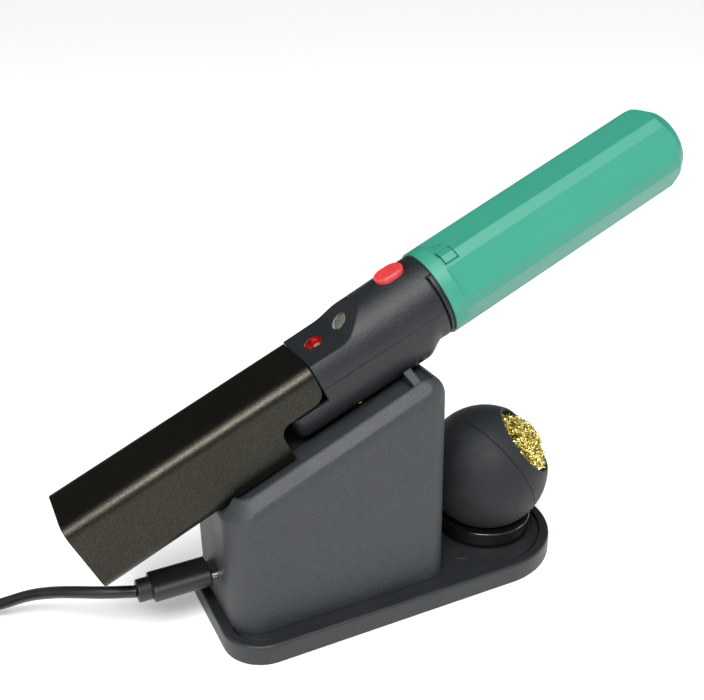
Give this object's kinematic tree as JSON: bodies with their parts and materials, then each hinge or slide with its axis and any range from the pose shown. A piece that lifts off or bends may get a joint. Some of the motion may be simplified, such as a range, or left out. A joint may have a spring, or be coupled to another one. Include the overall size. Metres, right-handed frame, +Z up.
{
  "type": "soldering iron station",
  "caption": "Cordless soldering iron with a faceted battery sleeve, resting in a tilted metal guard on a wedge-shaped charging stand with a tip-cleaning ball and a charging lead.",
  "frame": {"origin": "on the surface that the feet stand on, under the middle of the base tray", "axes": "+X along the base from the charging socket to the cleaning ball, +Y to the back, +Z up"},
  "size_m": [0.2802, 0.095, 0.1408],
  "materials": {
    "base_plastic": "fine moulded texture",
    "stand_plastic": "fine moulded texture",
    "ballast_steel": "plain sheet",
    "foot_rubber": "matt",
    "screw_steel": "plain",
    "guard_paint": "sprayed metallic",
    "circuit_board": "solder mask",
    "contact_gold": "plated",
    "socket_steel": "plated",
    "dark_plastic": "plain moulded",
    "wire_insulation": "smooth",
    "ring_gloss": "polished",
    "ball_silicone": "soft matt",
    "wool_brass": "loose curled wire",
    "housing_plastic": "satin moulded",
    "nose_steel": "dark turned",
    "tip_iron": "plated",
    "lamp_red": "clear tinted",
    "lens_grey": "clear lens",
    "button_red": "satin",
    "cell_wrap": "shrink sleeve over a metal can",
    "spring_steel": "wire",
    "sleeve_teal": "satin moulded",
    "plug_rubber": "moulded",
    "cord_rubber": "smooth"
  },
  "bodies": {
    "stand": {"base_tray": "base_plastic", "bottom_cover": "base_plastic", "ballast_plate": "ballast_steel", "rubber_feet": "foot_rubber", "base_screws": "screw_steel", "stand_body": "stand_plastic", "guard": "guard_paint", "guard_screws": "screw_steel", "charge_board": "circuit_board", "board_posts": "dark_plastic", "board_screws": "screw_steel", "charge_socket": "socket_steel", "socket_tongue": "dark_plastic", "contact_block": "dark_plastic", "contact_pins": "contact_gold", "inner_wires": "wire_insulation", "ring_pin": "screw_steel"},
    "iron": {"housing_upper": "housing_plastic", "housing_lower": "housing_plastic", "housing_screws": "screw_steel", "charge_pads": "contact_gold", "heater_nose": "dark_plastic", "tip_nut": "nose_steel", "soldering_tip": "tip_iron", "heater_core": "nose_steel", "control_board": "circuit_board", "tact_switch": "dark_plastic", "status_led": "lamp_red", "work_light": "lens_grey", "collar_ring": "housing_plastic", "battery_carrier": "dark_plastic", "battery_cell": "cell_wrap", "contact_spring": "spring_steel", "contact_plate": "contact_gold"},
    "button": {"power_button": "button_red"},
    "sleeve": {"battery_sleeve": "sleeve_teal"},
    "latch": {"sleeve_latch": "sleeve_teal"},
    "ring": {"seat_ring": "ring_gloss"},
    "ball": {"ball_lower": "ball_silicone"},
    "cap": {"ball_cap": "ball_silicone", "brass_wool": "wool_brass"},
    "lead": {"plug_shell": "socket_steel", "plug_grip": "plug_rubber", "plug_relief": "plug_rubber", "charging_cord": "cord_rubber", "cord_coil": "cord_rubber", "cord_tie": "plug_rubber", "cord_tail": "cord_rubber", "charger_relief": "plug_rubber", "charger_grip": "plug_rubber", "charger_shell": "socket_steel", "charger_tongue": "dark_plastic"}
  },
  "joints": [
    {"name": "iron_lift", "type": "slide", "parent": "stand", "child": "iron", "axis": [0.9158, 0, 0.4016], "range_m": [0, 0.09]},
    {"name": "power_press", "type": "slide", "parent": "iron", "child": "button", "axis": [0.4016, 0, -0.9158], "range_m": [0, 0.0006], "stiffness_N_per_m": 1500, "springref_m": -0.0003},
    {"name": "sleeve_pull", "type": "slide", "parent": "iron", "child": "sleeve", "axis": [0.9158, 0, 0.4016], "range_m": [0, 0.085]},
    {"name": "latch_press", "type": "slide", "parent": "sleeve", "child": "latch", "axis": [0.4016, 0, -0.9158], "range_m": [0, 0.0007], "stiffness_N_per_m": 1500, "springref_m": -0.0003},
    {"name": "ring_turn", "type": "hinge", "parent": "stand", "child": "ring", "pos_m": [0.0388, 0, 0.0065], "axis": [0, 0, 1], "range_deg": [-70, 70]},
    {"name": "ball_lift", "type": "slide", "parent": "ring", "child": "ball", "axis": [0, 0, 1], "range_m": [0, 0.03]},
    {"name": "cap_pull", "type": "slide", "parent": "ball", "child": "cap", "axis": [0.8813, 0.153, 0.4471], "range_m": [0, 0.02]},
    {"name": "plug_pull", "type": "slide", "parent": "stand", "child": "lead", "axis": [-1, 0, 0], "range_m": [0, 0.012]}
  ]
}
